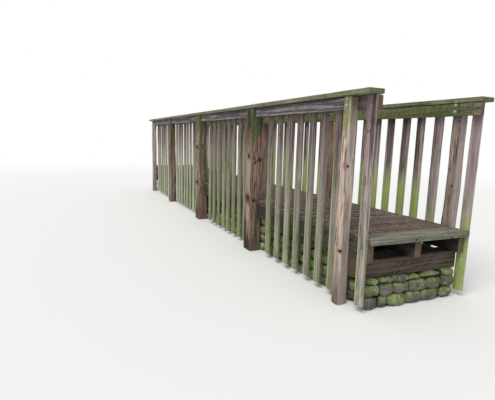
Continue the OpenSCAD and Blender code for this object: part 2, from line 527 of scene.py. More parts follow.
def makeSpeckGroup():
    # scattered round specks: lichen, grit or crumbs
    tree, take, end = newGroup(
        "surfaceSpecks", {"Vector": None, "Scale": 90.0, "Share": 0.2, "Size": 0.3}, ["Mask", "Tint"])
    wavy = cloudy(tree, take["Vector"], times(tree, take["Scale"], 1.8), 3.0, 0.7)
    cells = put(tree, "ShaderNodeTexVoronoi", {"Vector": take["Vector"], "Scale": take["Scale"]}).outputs
    red, green, _ = split(tree, cells["Color"])
    chosen = maths(tree, "LESS_THAN", red, take["Share"])
    distance = add(tree, cells["Distance"], times(tree, wavy, 0.9), -0.45)
    mask = ramp(tree, distance, take["Size"], times(tree, take["Size"], 0.7))
    feedInputs(tree, end, {"Mask": times(tree, mask, chosen), "Tint": green})
    return tree


knotGroup = makeKnotGroup()
placeGroup = makePlaceGroup()
grainGroup = makeGrainGroup()
algaeGroup = makeAlgaeGroup()
arrisGroup = makeArrisGroup()
speckGroup = makeSpeckGroup()


# timber finishes

def timberMaterial(look):
    material, tree, shader, here = startMaterial(look["name"])
    place, wood = stored(tree, "boardPos"), stored(tree, "grainPos")
    sawn = stored(tree, "endGrain", "Fac")
    tone = split(tree, stored(tree, "boardTone"))
    across, _, foot = split(tree, place)

    def rising(value, start, end, share):
        return ramp(tree, value, start, end, 0.0, look[share])

    def painted(colour, layers):
        for share, over in layers:
            colour = mixed(tree, share, colour, look[over])
        return colour

    def patchesAt(places):
        cover = 0.0
        for centre, reach in places:
            spot = useGroup(tree, placeGroup, {"Vector": here, "Centre": centre, "Reach": reach})
            cover = maths(tree, "MAXIMUM", spot["Mask"], cover)
        return cover

    def specks(scale, share, size):
        return useGroup(tree, speckGroup, {"Vector": here, "Scale": scale, "Share": look[share], "Size": size})

    def upEdge(least):
        return ramp(tree, foot, look["edgeTo"], look["edgeFrom"], least, 1.0)

    knot, swirl, flow = 0.0, 0.0, (0, 0, 0)
    for centre, reach in look["knotPlaces"]:
        spot = useGroup(tree, knotGroup, {"Vector": here, "Centre": centre, "Reach": reach})
        knot = maths(tree, "MAXIMUM", spot["Knot"], knot)
        swirl = maths(tree, "MAXIMUM", spot["Swirl"], swirl)
        flow = vectors(tree, "ADD", spot["Flow"], flow)
    grain = useGroup(tree, grainGroup,
                     {"Vector": wood, "Flow": flow, "Shift": tone[2], "Fineness": look["fineness"],
                      "RingWidth": look["ringWidth"], "PithDepth": look["pithDepth"],
                      "Knots": look["knots"], "KnotSize": look["knotSize"], "Checks": look["checks"],
                      "Streak": look["streak"]})
    knot = maths(tree, "MAXIMUM", grain["Knot"], knot)
    arris = useGroup(tree, arrisGroup, {"Place": place, "Start": look["arrisStart"]})

    # bare wood
    sharp = look["softGrain"]
    ragged = times(tree, add(tree, grain["Band"], -0.5), look["ragged"])
    blotch = streaky(tree, vectors(tree, "ADD", wood, here), (7, 7, 1.6), 4.0)
    colour = mixed(tree, ramp(tree, grain["Band"], 0.5 - sharp, 0.5 + sharp), look["dark"], look["light"])
    colour = painted(colour, [
        (rising(tone[0], 0.0, 1.0, "boardToBoard"), "odd"),
        (times(tree, rising(tone[1], 0.45, 1.2, "dullShare"), ramp(tree, foot, 1.3, 0.7, 0.3, 1.0)), "dull"),
        (times(tree, rising(add(tree, foot, ragged), look["footTo"], look["footFrom"], "footShare"),
               ramp(tree, tone[0], 0.35, 0.8, 1.0, look["footKept"])), "footColour"),
        (rising(blotch, 0.46, 0.64, "blotchShare"), "blotch"),
        (times(tree, ramp(tree, grain["Fibre"], 0.34, 0.66), look["fibreShare"]), "fibre"),
        (times(tree, grain["Ring"], look["ringShare"]), "ring"),
        # dark fissures along the grain: partly darker weathered wood, partly painted shade inside the grooves
        (times(tree, grain["Fissure"], look["fissureShare"]), "fissure")])
    # painted shade: the upper part of each piece is darkened towards the cap and rails above it, for the shade
    # under them
    high = rising(maths(tree, "SUBTRACT", foot, ragged), look["headFrom"], look["headTo"], "headShare")
    colour = mixed(tree, high, colour, look["headColour"], "MULTIPLY")
    for places, share, over in (("palePlaces", "paleShare", "pale"), ("darkPlaces", "shadowShare", "shadow")):
        if look[places]:
            colour = painted(colour, [(times(tree, patchesAt(look[places]), look[share]), over)])
    # painted light and shade: faces turned towards the near end get their own colour, matched to how the light
    # falls on them
    facing = split(tree, put(tree, "ShaderNodeNewGeometry").outputs["Normal"])[0]
    colour = painted(colour, [
        (rising(facing, -0.4, -0.9, "nearShare"), "nearSide"),
        (times(tree, swirl, look["swirlShare"]), "swirlColour"),
        (times(tree, knot, look["knotShare"]), "knotColour"),
        # drying cracks are painted dark: painted shade inside the cracks
        (times(tree, grain["Check"], look["checkShare"]), "checkColour")])
    endRing = mixed(tree, times(tree, grain["Ring"], 0.6), look["endLight"], look["endDark"])
    colour = mixed(tree, times(tree, sawn, look["endShare"]), colour, endRing)

    # algae
    innerHeight = add(tree, foot, times(tree, tone[1], -look["innerShift"]))
    wet = add(tree, look["wetAll"],
              rising(foot, look["wetTo"], look["wetFrom"], "wetFoot"),
              rising(foot, look["topFrom"], look["topTo"], "wetTop"),
              times(tree, arris["Arris"], look["wetArris"]),
              times(tree, arris["Far"], upEdge(0.35), look["wetFar"]),
              times(tree, arris["Narrow"], upEdge(0.4), look["wetNarrow"]),
              times(tree, arris["Inner"], rising(innerHeight, look["innerTo"], look["innerFrom"], "wetInner")),
              times(tree, add(tree, tone[1], -0.5), look["wetChange"]),
              times(tree, sawn, look["wetEnd"]),
              times(tree, knot, -0.5))
    if look["greenPlaces"]:
        wet = add(tree, wet, times(tree, patchesAt(look["greenPlaces"]), look["greenShare"]))
    moved = vectors(tree, "ADD", wood, combined(tree, tone[2], tone[0], 0.0))
    film = useGroup(tree, algaeGroup, {"Vector": moved, "Wetness": wet, "Patch": look["patch"],
                                       "Softness": look["softness"]})
    green = painted(mixed(tree, film["Tint"], look["algaeDark"], look["algaeLight"]), [
        (times(tree, rising(tone[1], 0.55, 1.25, "fadedShare"), ramp(tree, arris["Narrow"], 0.0, 1.0, 1.0, 0.65),
               ramp(tree, arris["Inner"], 0.0, 1.0, 1.0, 0.1)), "algaeFaded"),
        (times(tree, arris["Inner"], ramp(tree, film["Tint"], 0.0, 0.7, 0.6, 1.0),
               ramp(tree, tone[1], 1.0, 0.55, 0.15, look["innerPale"])), "algaeInner"),
        # pale green along the far outer arris: algae, made paler as a painted highlight on the edge
        (times(tree, arris["Far"], look["arrisPale"]), "algaeArris")])
    colour = mixed(tree, times(tree, film["Mask"], look["algaeCover"]), colour, green)

    # drips, lichen and crumbs
    drip = ramp(tree, streaky(tree, wood, look["dripScale"], 3.0), 0.45, 0.64)
    lichen = specks(75.0, "lichenShare", 0.26)
    dirt = specks(look["dirtScale"], "dirtShare", 0.42)
    grit = specks(look["dirtScale"] * 2.6, "dirtShare", 0.4)
    colour = painted(colour, [
        (times(tree, drip, ramp(tree, across, -0.9, 0.8, 0.2, 1.0), look["dripShare"]), "drip"),
        (times(tree, lichen["Mask"], look["lichenCover"]), "lichen")])
    unsawn = ramp(tree, sawn, 0.0, 1.0, 0.9, 0.0)
    for layer in (grit, dirt):
        crumbs = mixed(tree, maths(tree, "POWER", layer["Tint"], 3.2), look["dirt"], look["dirtLight"])
        colour = mixed(tree, times(tree, layer["Mask"], unsawn), colour, crumbs)

    height = add(tree, grain["Height"], times(tree, film["Tint"], film["Mask"], 0.3),
                 times(tree, lichen["Mask"], 0.25), times(tree, dirt["Mask"], 0.4),
                 times(tree, grit["Mask"], 0.25), times(tree, knot, -0.25))
    feedInputs(tree, shader, {
        "Specular IOR Level": 0.25, "Base Color": colour, "Normal": bumped(tree, height, look["bump"], 0.004),
        "Roughness": ramp(tree, grain["Fibre"], 0.2, 0.8, look["rough"] - 0.08, look["rough"] + 0.06)})
    return material


plainTimber = {
    "fineness": 120.0, "ringWidth": 0.006, "pithDepth": 0.07, "ringShare": 0.3,
    "knots": 0.1, "knotSize": 0.009, "checks": 0.9, "streak": (40, 40, 1.5),
    "fissure": paint(62, 48, 45), "fissureShare": 0.55,
    "knotPlaces": [], "knotShare": 0.92, "swirlShare": 0.55, "checkShare": 0.85, "endShare": 0.85,
    "greenPlaces": [], "greenShare": 0.5,
    "palePlaces": [], "pale": paint(180, 174, 168), "paleShare": 0.75,
    "darkPlaces": [], "shadow": paint(50, 44, 40), "shadowShare": 0.9, "softGrain": 0.09, "ragged": 0.0,
    "dull": paint(140, 146, 130), "dullShare": 0.0,
    "nearSide": paint(130, 110, 100), "nearShare": 0.0, "swirlColour": paint(96, 70, 56),
    "arrisStart": 0.55, "rough": 0.88, "bump": 0.6,
    "boardToBoard": 0.5, "fibre": paint(192, 178, 172), "fibreShare": 0.35, "ring": paint(88, 72, 68),
    "blotch": paint(104, 92, 88), "blotchShare": 0.4,
    "footFrom": 0.1, "footTo": 0.75, "footKept": 1.0, "footColour": paint(172, 166, 152),
    "headFrom": 1.0, "headTo": 1.5, "headShare": 0.0, "headColour": paint(190, 180, 176),
    "drip": paint(60, 56, 48), "dripShare": 0.0,
    "knotColour": paint(58, 42, 36), "checkColour": paint(42, 34, 31),
    "endLight": paint(120, 100, 82), "endDark": paint(66, 54, 46),
    "wetAll": 0.16, "wetFrom": 0.1, "wetTo": 1.1, "wetTop": 0.0, "topFrom": 1.3, "topTo": 1.6, "wetFar": 0.0,
    "wetInner": 0.0, "innerFrom": 0.8, "innerTo": 1.2, "innerShift": 0.0, "wetChange": 0.2, "wetEnd": 0.1,
    "patch": 6.0, "softness": 0.3, "algaeCover": 0.88,
    "algaeArris": paint(170, 184, 122), "arrisPale": 0.0, "algaeFaded": paint(176, 184, 162), "fadedShare": 0.0,
    "algaeInner": paint(174, 192, 108), "innerPale": 0.0, "edgeFrom": 0.9, "edgeTo": 1.55,
    "dripScale": (2.5, 2.5, 17),
    "lichen": paint(186, 190, 172), "lichenShare": 0.06, "lichenCover": 0.6,
    "dirt": paint(70, 60, 54), "dirtLight": paint(104, 84, 70), "dirtScale": 60.0, "dirtShare": 0.0,
}


def finish(name, **changes):
    # each finish gives its own wood and algae colours, foot share and wetness of foot, arrises and sides
    return timberMaterial({**plainTimber, "name": name, **changes})


# pickets

picketSettings = {"cuts": 13, "arris": 0.0035, "slimmest": 0.94, "lean": 0.3,
                  "swell": 0.006, "ripple": 0.0025, "sawSlope": 5.0, "footTrim": 0.004, "shades": 0.25,
                  # pickets nearer the end than dryReach have less algae by dryStart
                  "dryReach": -3.38, "dryStart": 0.72, "algaeChange": 0.3}
# how much algae each bay has
bayAlgae = {"1": 0.4, "2": 0.5, "3": 0.95, "4": 1.0, "near": 0.3, "far": 1.1}
# how much darker the boards of each left bay are
bayShade = {"1": 0.5, "2": 0.65, "3": 0.1, "4": 0.1, "near": 0.0, "far": 0.0}
picketWood = finish(
    "picketWood",
    knotPlaces=[((-3.669, 0.54, 1.400), (0.007, 0.05, 0.010)),
                ((-3.643, 0.54, 1.396), (0.006, 0.05, 0.009))],
    wetInner=0.5, innerFrom=0.5, innerTo=1.25, innerShift=0.35,
    softness=0.42, wetArris=0.14, wetFar=0.44, wetNarrow=0.3, wetFoot=0.3, arrisPale=0.8,
    wetTop=-0.1, topFrom=0.75, topTo=1.15,
    dark=paint(78, 64, 62), light=paint(186, 168, 167), odd=paint(106, 102, 86), boardToBoard=0.85,
    fibre=paint(192, 180, 180), fissureShare=0.8, softGrain=0.06,
    dull=paint(148, 146, 134), dullShare=0.6, ragged=0.6,
    headFrom=0.85, headTo=1.55, headShare=0.85, headColour=paint(184, 170, 170),
    footTo=1.2, footShare=0.75, footKept=0.1, footColour=paint(190, 186, 174),
    palePlaces=[((-3.48, -0.50, 1.30), (0.17, 0.3, 1.2)), ((-3.74, -0.50, 1.30), (0.20, 0.3, 1.2))],
    pale=paint(180, 163, 163), paleShare=0.45, fadedShare=0.9, algaeFaded=paint(198, 203, 186),
    innerPale=0.85,
    algaeDark=paint(84, 98, 56), algaeLight=paint(146, 160, 102))


def modelPicket(width, thickness, length):
    picket = addBlock("picketMaster", (-width / 2, -thickness / 2, -length / 2),
                      (width / 2, thickness / 2, length / 2))
    cutAcross(picket, alongZ, picketSettings["cuts"])
    wearArrises(picket, picketSettings["arris"])
    nameSurface(picket, alongX, alongY, alongZ, inward=-1)
    return picket


def placePicket(master, name, centre, side, shade, algae, chance):
    picket = copyOf(master, name)
    length = picket.dimensions.z
    slope = math.radians(chance.uniform(-1, 1) * picketSettings["sawSlope"])
    sawOff(picket, (0, 0, picketSettings["footTrim"] - length / 2), (math.sin(slope), 0, -math.cos(slope)))
    nameEnds(picket, alongZ)
    picket.scale.x = chance.uniform(picketSettings["slimmest"], 1)
    picket.rotation_euler = (0, math.radians(chance.uniform(-1, 1) * picketSettings["lean"]),
                             0 if side > 0 else math.pi)
    picket.location = centre
    placeInMesh(picket)
    change = picketSettings["algaeChange"]
    setTone(picket, shade + chance.uniform(0, picketSettings["shades"]), algae + chance.uniform(-change, change),
            chance.random())
    return picket


def buildPickets():
    low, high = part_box("end_picket_left_near")
    master = modelPicket(high.x - low.x, high.y - low.y, high.z - low.z)
    nodes = ["pickets_%s_%d" % (side, bay) for side in sides for bay in range(1, 5)]
    nodes += ["end_picket_%s_%s" % (side, end) for side in sides for end in ("near", "far")]
    count = 0
    for number, node in enumerate(nodes):
        low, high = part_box(node)
        side = 1 if low.y > 0 else -1
        chance = random.Random(100 + number)
        parts = []
        for start, end in solidSpans(node):
            centre = ((start + end) / 2, (low.y + high.y) / 2, (low.z + high.z) / 2)
            dry = picketSettings["dryStart"] if start < picketSettings["dryReach"] else 0
            place = node.split("_")[-1]
            parts.append(placePicket(master, "%s_%d" % (node, len(parts)), centre, side,
                                     bayShade[place] if side > 0 else 0.0, bayAlgae[place] - dry, chance))
        count += len(parts)
        bay = joinAll(node + "Boards", parts)
        weather(bay, picketSettings, alongZ)
        finishPiece(bay, picketWood, [node], 35)
    discard(master)
    return count


print("pickets placed:", buildPickets())


# posts

postSettings = {"cuts": 64, "faceCuts": 5, "swell": 0.016, "ripple": 0.008, "crook": 0.012,
                "taper": {1: -0.07, 5: -0.07}, "plainTaper": -0.05, "cornerSegments": 4, "faceEdge": 0.03,
                "checkWidth": 0.003, "checkMargin": 0.03, "checkSway": 0.004, "facing": 0.75,
                "housing": (0.40, 0.515), "housingSpare": 0.1, "slack": 0.0015, "spareOutside": 0.001,
                "footTrim": 0.001,
                # rounding of the near outer, far outer, near inner and far inner corner
                "wane": {1: (0.018, 0.022, 0.012, 0.014), 2: (0.014, 0.024, 0.012, 0.018),
                         3: (0.020, 0.016, 0.012, 0.014), 4: (0.016, 0.026, 0.014, 0.018),
                         5: (0.020, 0.014, 0.016, 0.012)}}
# drying cracks by post: the face, place across it, lowest and highest point, depth
postCracks = {
    "left_1": [("outer", 0.012, 0.62, 1.02, 0.008), ("near", -0.012, 0.30, 0.80, 0.010),
               ("inner", 0.010, 0.50, 1.30, 0.014)],
    "left_2": [("outer", -0.052, 0.03, 0.50, 0.016), ("outer", 0.028, 0.02, 0.36, 0.012),
               ("near", 0.014, 0.03, 0.62, 0.016), ("near", -0.022, 0.10, 1.00, 0.012),
               ("inner", 0.020, 0.70, 1.40, 0.014)],
    "left_3": [("outer", -0.020, 0.35, 1.20, 0.016), ("outer", 0.045, 0.04, 0.50, 0.012),
               ("near", 0.008, 0.20, 0.90, 0.014)],
}
plainCracks = [("outer", 0.015, 0.30, 1.10, 0.014), ("inner", -0.012, 0.70, 1.40, 0.012),
               ("near", 0.010, 0.10, 0.70, 0.012), ("far", -0.012, 0.50, 1.30, 0.014)]
# share of the odd colour in each post
postTones = {"left": (0.0, 0.1, 0.4, 0.8, 0.4), "right": (1.0, 0.3, 0.5, 0.3, 0.6)}


def outerKnot(x, z, size):
    return (x, 0.600, z), (size, 0.04, size * 1.15)


def nearKnot(x, y, z, size):
    return (x, y, z), (0.04, size, size * 1.15)


postLook = {
    "fineness": 80.0, "knotSize": 0.012, "checks": 1.0, "bump": 1.0,
    "ringWidth": 0.0045, "pithDepth": 0.0, "wetNarrow": 0.0, "wetChange": 0.1,
    "softGrain": 0.055, "knotColour": paint(20, 15, 14), "topFrom": 1.35, "topTo": 1.62}
mainPostLog = finish(
    "mainPostLog", **postLook, ragged=1.6, streak=(34, 34, 2.4), shadow=paint(40, 36, 33),
    knotPlaces=[outerKnot(-1.801, 1.115, 0.028), outerKnot(-1.795, 0.634, 0.030), outerKnot(-1.750, 0.640, 0.017),
                outerKnot(-1.835, 0.560, 0.016), nearKnot(-1.875, 0.500, 1.076, 0.020),
                nearKnot(-1.875, 0.560, 1.045, 0.012), nearKnot(-1.875, 0.566, 0.605, 0.017),
                ((0.118, 0.600, 1.166), (0.045, 0.04, 0.030)), ((0.125, 0.600, 0.599), (0.045, 0.04, 0.030)),
                outerKnot(0.118, 1.255, 0.016)],
    palePlaces=[((-1.785, 0.605, 0.92), (0.075, 0.06, 0.34)), ((-1.80, 0.605, 1.04), (0.050, 0.06, 0.16)),
                ((-1.80, 0.605, 0.42), (0.050, 0.06, 0.22)), ((0.155, 0.605, 0.62), (0.06, 0.06, 0.42)),
                ((0.10, 0.605, 1.30), (0.07, 0.06, 0.36)), ((0.08, 0.605, 0.95), (0.06, 0.06, 0.30)),
                ((1.80, 0.600, 0.32), (0.09, 0.09, 0.42))],
    darkPlaces=[((-1.79, 0.605, 1.58), (0.12, 0.09, 0.34)), ((-1.795, 0.605, 0.615), (0.060, 0.05, 0.045)),
                ((-1.74, 0.605, 0.20), (0.04, 0.05, 0.32)), ((-1.875, 0.51, 1.54), (0.06, 0.070, 0.30)),
                ((-1.79, 0.605, 0.06), (0.12, 0.05, 0.17)), ((0.01, 0.51, 1.02), (0.05, 0.035, 0.42)),
                ((1.79, 0.55, 1.50), (0.09, 0.09, 0.42)),
                ((0.00, 0.50, 1.34), (0.05, 0.045, 0.34)), ((0.115, 0.605, 0.12), (0.08, 0.05, 0.10))],
    greenPlaces=[((-1.875, 0.605, 1.50), (0.045, 0.05, 0.66)), ((-1.70, 0.600, 1.58), (0.055, 0.05, 0.32)),
                 ((-1.875, 0.474, 0.36), (0.04, 0.022, 0.50)), ((0.02, 0.600, 1.36), (0.05, 0.07, 0.85)),
                 ((0.12, 0.605, 1.55), (0.10, 0.05, 0.36)), ((0.01, 0.500, 0.64), (0.09, 0.08, 0.22)),
                 ((-0.01, 0.560, 1.40), (0.05, 0.06, 0.60)), ((-1.875, 0.550, 1.55), (0.05, 0.06, 0.36)),
                 ((1.80, 0.590, 1.40), (0.07, 0.08, 0.70)), ((0.0, 0.47, 0.35), (0.05, 0.02, 0.4))],
    greenShare=0.7, dark=paint(88, 62, 52), light=paint(166, 136, 114), odd=paint(106, 92, 80),
    ring=paint(84, 62, 52), boardToBoard=0.6, fibre=paint(186, 164, 146),
    blotch=paint(84, 62, 54), blotchShare=0.5, pale=paint(156, 149, 144),
    nearSide=paint(128, 106, 96), nearShare=0.25, fissure=paint(44, 31, 29), fissureShare=0.95,
    footColour=paint(48, 33, 33), footFrom=0.06, footTo=0.5, footShare=0.95,
    headColour=paint(150, 140, 132), headFrom=1.25, headTo=1.62, headShare=0.8,
    wetAll=0.08, wetTop=0.22, wetArris=0.22, arrisStart=0.75, wetFoot=0.06, wetTo=0.5,
    algaeDark=paint(50, 60, 36), algaeLight=paint(108, 122, 76))
endPostLog = finish(
    "endPostLog", **postLook, ragged=0.9, streak=(60, 60, 2.6), swirlColour=paint(142, 112, 94),
    knotPlaces=[nearKnot(-3.495, 0.577, 1.129, 0.011), nearKnot(-3.495, 0.592, 0.452, 0.013),
                ((-3.585, -0.510, 0.955), (0.012, 0.04, 0.014))],
    palePlaces=[((-3.439, 0.60, 0.45), (0.012, 0.04, 0.014)), ((-3.455, 0.60, 0.95), (0.034, 0.05, 0.34)),
                ((-3.56, -0.51, 1.20), (0.012, 0.04, 0.26))],
    darkPlaces=[((-3.50, 0.515, 1.20), (0.03, 0.014, 0.44)), ((-3.60, -0.51, 1.30), (0.010, 0.04, 0.20))],
    greenPlaces=[((-3.455, 0.595, 1.62), (0.060, 0.045, 0.44)), ((-3.50, 0.575, 1.62), (0.03, 0.030, 0.28)),
                 ((-3.62, -0.51, 0.62), (0.03, 0.03, 0.10))],
    dark=paint(118, 94, 84), light=paint(212, 189, 170), odd=paint(124, 108, 108), ring=paint(108, 82, 71),
    boardToBoard=0.8, fibre=paint(200, 184, 170), fibreShare=0.3, blotch=paint(140, 118, 104),
    blotchShare=0.12, pale=paint(192, 174, 160),
    nearSide=paint(178, 166, 160), nearShare=0.5, fissure=paint(66, 46, 42), fissureShare=0.95,
    shadow=paint(84, 60, 52), footColour=paint(78, 62, 57), footFrom=0.0, footShare=0.9,
    headColour=paint(204, 201, 198), headFrom=1.3, headTo=1.62, headShare=0.7,
    wetAll=0.06, wetTop=0.12, wetArris=0.14, arrisStart=0.8, wetFoot=0.04, wetTo=0.4,
    algaeDark=paint(76, 90, 52), algaeLight=paint(140, 156, 98))


def openCheck(post, facing, spot, low, high, depth):
    # a drying crack: a narrow strip of one face is cut out and its middle pushed in
    across = Vector((abs(facing.y), abs(facing.x), 0))
    width = postSettings["checkWidth"]
    for shift in (-width, 0, width):
        markFaces(post, lambda centre, way: way.dot(facing) > postSettings["facing"] and low < centre.z < high)
        inEditMode(post, "faces", lambda: bpy.ops.mesh.bisect(plane_co=across * (spot + shift),
                                                              plane_no=across))
    margin = postSettings["checkMargin"]
    markPoints(post, lambda co: abs(co.dot(across) - spot) < width * 0.3 and co.dot(facing) > 0
               and low + margin < co.z < high - margin)
    inEditMode(post, "points", lambda: bpy.ops.transform.translate(value=facing * -depth))


def housePost(post, low, high):
    # cuts the seat of a rail or a stringer out of the post
    cutter = addBlock("housingCutter", low, high)
    applyModifier(post, "BOOLEAN", operation="DIFFERENCE", solver="EXACT", object=cutter)
    discard(cutter)


def roundCorner(post, alongWay, outWay, radius):
    markEdges(post, lambda a, b: abs(a.z - b.z) > 0.01 and min(a.x * alongWay, a.y * outWay) > 0
              and abs(a.x - b.x) + abs(a.y - b.y) < benchSettings["sameSpot"])
    inEditMode(post, "edges", lambda: bpy.ops.mesh.bevel(
        offset=radius, segments=postSettings["cornerSegments"], affect="EDGES"))


def modelPost(side, number):
    look = postSettings
    node = "post_%s_%d" % (side, number)
    way = sides[side]
    chance = random.Random(40 + number + (0 if side == "left" else 5))
    railLow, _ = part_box("inner_rail_" + side)
    _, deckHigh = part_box("deck_boards_1")
    stringerLow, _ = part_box("stringer_" + side)
    low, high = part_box(node)
    taper = look["taper"].get(number, look["plainTaper"])
    slack = look["slack"]
    spare = Vector((slack - taper * (high.x - low.x) / 4, slack - taper * (high.y - low.y) / 4, 0))
    post = addBlock(node + "Log", low + spare, high - spare)
    base = post.location.z
    cutAcross(post, alongZ, look["cuts"])
    for (alongWay, outWay), radius in zip(((-1, way), (1, way), (-1, -way), (1, -way)), look["wane"][number]):
        roundCorner(post, alongWay, outWay, radius)
    markEdges(post, lambda a, b: abs(a.z - b.z) < benchSettings["sameSpot"] and (a - b).length > look["faceEdge"])
    inEditMode(post, "edges", lambda: bpy.ops.mesh.subdivide(number_cuts=look["faceCuts"]))
    applyModifier(post, "SIMPLE_DEFORM", deform_method="TAPER", deform_axis="Z", factor=taper)
    inner, outer = sorted(way * place for place in look["housing"])
    past = look["housingSpare"]
    for bottom, top in ((railLow.z, high.z + past), (stringerLow.z, deckHigh.z)):
        housePost(post, (low.x - past, inner, bottom), (high.x + past, outer, top))
    facings = {"outer": Vector((0, way, 0)), "inner": Vector((0, -way, 0)),
               "near": Vector((-1, 0, 0)), "far": Vector((1, 0, 0))}
    for face, spot, start, end, depth in postCracks.get("%s_%d" % (side, number), plainCracks):
        change = chance.uniform(-look["checkSway"], look["checkSway"])
        openCheck(post, facings[face], spot + change, start - base, end - base, depth)
    placeInMesh(post)
    for direction in "XY":
        roughen(post, "crook", look["crook"], "bow" + direction, direction)
    weather(post, look, alongZ)
    sawOff(post, (0, 0, look["footTrim"]), (0, 0, -1))
    # a crooked log is moved back behind the outer face of its CAD post
    reach = max(v.co.y * way for v in post.data.vertices)
    over = reach - max(low.y * way, high.y * way) + look["spareOutside"]
    markPoints(post, lambda co: True)
    inEditMode(post, "points", lambda: bpy.ops.transform.translate(value=(0, -way * max(over, 0), 0)))
    nameSurface(post, alongX, alongY, alongZ, inward=-way)
    nameEnds(post, alongZ)
    setTone(post, postTones[side][number - 1], chance.random(), chance.random())
    finishPiece(post, endPostLog if number in (1, 5) else mainPostLog, [node], 50)


for side in sides:
    for number in range(1, 6):
        modelPost(side, number)
print("posts standing")


# caps, rails and stringers

boardSettings = {
    "cap": {"cuts": 70, "arris": 0.007, "swell": 0.005, "ripple": 0.002, "slack": 0.003},
    "innerRail": {"cuts": 60, "arris": 0.006, "swell": 0.004, "ripple": 0.003, "slack": 0.003},
    "outerRail": {"cuts": 16, "arris": 0.006, "swell": 0.004, "ripple": 0.003, "slack": 0.003},
    "deck": {"cuts": 10, "arris": 0.006, "swell": 0.006, "ripple": 0.004, "slack": 0.003, "drop": 0.004},
    "beam": {"cuts": 40, "arris": 0.005, "swell": 0.006, "ripple": 0.004, "slack": 0.001},
}
capBoard = finish(
    "capBoard", knots=0.08, arrisStart=0.75, ringShare=0.2, checks=1.0,
    dark=paint(96, 94, 70), light=paint(138, 134, 104), odd=paint(116, 120, 82),
    footShare=0.0, wetAll=0.42, wetFoot=0.0, wetArris=0.12, wetNarrow=0.06,
    drip=paint(60, 66, 44), dripShare=0.45,
    algaeDark=paint(60, 78, 44), algaeLight=paint(116, 134, 80), lichenShare=0.1)
# the wood colours are kept dark: painted shade for the outer face, which lies in shadow behind the pickets and
# the outer rail
innerRailBoard = finish(
    "innerRailBoard", footFrom=0.0, footTo=0.25, footShare=0.5,
    footColour=paint(140, 118, 106),
    dark=paint(62, 49, 46), light=paint(112, 95, 88), odd=paint(90, 76, 70),
    wetAll=0.26, wetInner=0.36, innerFrom=50, innerTo=100, wetFoot=-0.2, wetFrom=0.0,
    wetTo=0.25, wetArris=0.05, wetNarrow=0.06, wetEnd=-0.2, softness=0.34,
    drip=paint(44, 48, 34), dripShare=0.8, dripScale=(5, 3, 44),
    endLight=paint(104, 84, 72), endDark=paint(66, 50, 44),
    algaeDark=paint(62, 72, 42), algaeLight=paint(120, 130, 76))
outerRailBoard = finish(
    "outerRailBoard", footShare=0.0,
    softGrain=0.04, fissureShare=0.8, streak=(44, 44, 1.0),
    dark=paint(46, 40, 43), light=paint(164, 154, 157), odd=paint(108, 96, 94),
    blotch=paint(70, 60, 58), blotchShare=0.6,
    fibre=paint(158, 154, 158), ring=paint(74, 68, 70),
    wetAll=0.14, wetFoot=0.0, wetArris=0.12, wetNarrow=0.0,
    drip=paint(70, 62, 62), dripShare=0.35,
    algaeDark=paint(78, 88, 60), algaeLight=paint(120, 130, 90))
# painted shade: the stringers' wood is kept near black, for the deep shade under the deck
stringerTimber = finish(
    "stringerTimber", footShare=0.0,
    dark=paint(30, 29, 29), light=paint(64, 58, 54), odd=paint(48, 45, 42),
    fibre=paint(72, 67, 62), ring=paint(32, 28, 26), wetAll=0.3, wetFoot=0.0,
    wetArris=0.14, wetNarrow=0.0,
    algaeDark=paint(40, 54, 36), algaeLight=paint(88, 104, 62))
sillTimber = finish(
    "sillTimber", footShare=0.0,
    dark=paint(48, 41, 37), light=paint(96, 82, 71), odd=paint(80, 65, 55),
    fibre=paint(112, 98, 84), ring=paint(46, 38, 34), wetAll=0.26, wetFoot=0.0,
    endLight=paint(96, 76, 64), endDark=paint(56, 44, 38), wetArris=0.14, wetNarrow=0.0,
    algaeDark=paint(44, 58, 38), algaeLight=paint(92, 108, 66))


def modelBoard(name, low, high, kind, axes, chance, inward=1, algae=None):
    look = boardSettings[kind]
    across, thick, along = axes
    slack = Vector((look["slack"],) * 3)
    board = addBlock(name, low + slack, high - slack)
    wearArrises(board, look["arris"])
    cutAcross(board, along, look["cuts"])
    nameSurface(board, across, thick, along, inward)
    nameEnds(board, along)
    placeInMesh(board)
    weather(board, look, along)
    setTone(board, chance.random(), chance.random() if algae is None else algae, chance.random())
    return board


for side, way in sides.items():
    chance = random.Random(7 if way > 0 else 8)
    node = "cap_" + side
    cap = modelBoard("handrailCap_" + side, *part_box(node), "cap", (alongY, alongZ, alongX), chance, 1, 0.5)
    finishPiece(cap, capBoard, [node])
    node = "inner_rail_" + side
    rail = modelBoard("innerRail_" + side, *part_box(node), "innerRail", (alongZ, alongY, alongX),
                      chance, -way, 0.5)
    finishPiece(rail, innerRailBoard, [node])
    node = "outer_rails_" + side
    low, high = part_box(node)
    parts = [modelBoard("outerRail_%d" % i, Vector((start, low.y, low.z)), Vector((end, high.y, high.z)),
                        "outerRail", (alongZ, alongY, alongX), chance, -way)
             for i, (start, end) in enumerate(solidSpans(node))]
    finishPiece(joinAll("outerRails_" + side, parts), outerRailBoard, [node])
print("caps and rails fixed")

for number, node in enumerate(("stringer_left", "stringer_middle", "stringer_right")):
    beam = modelBoard(node + "Beam", *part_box(node), "beam", (alongZ, alongY, alongX),
                      random.Random(60 + number))
    finishPiece(beam, stringerTimber, [node])


# pieces laid across the bridge on the skew

def skewOf(node):
    # how far a piece moves along the bridge for each metre across it
    points = nodePoints(node)
    far = max(p.y for p in points)
    edge = far - benchSettings["sameEnd"]
    left, right = (min(p.x for p in points if p.y * way > edge) for way in (1, -1))
    return (left - right) / (2 * far)


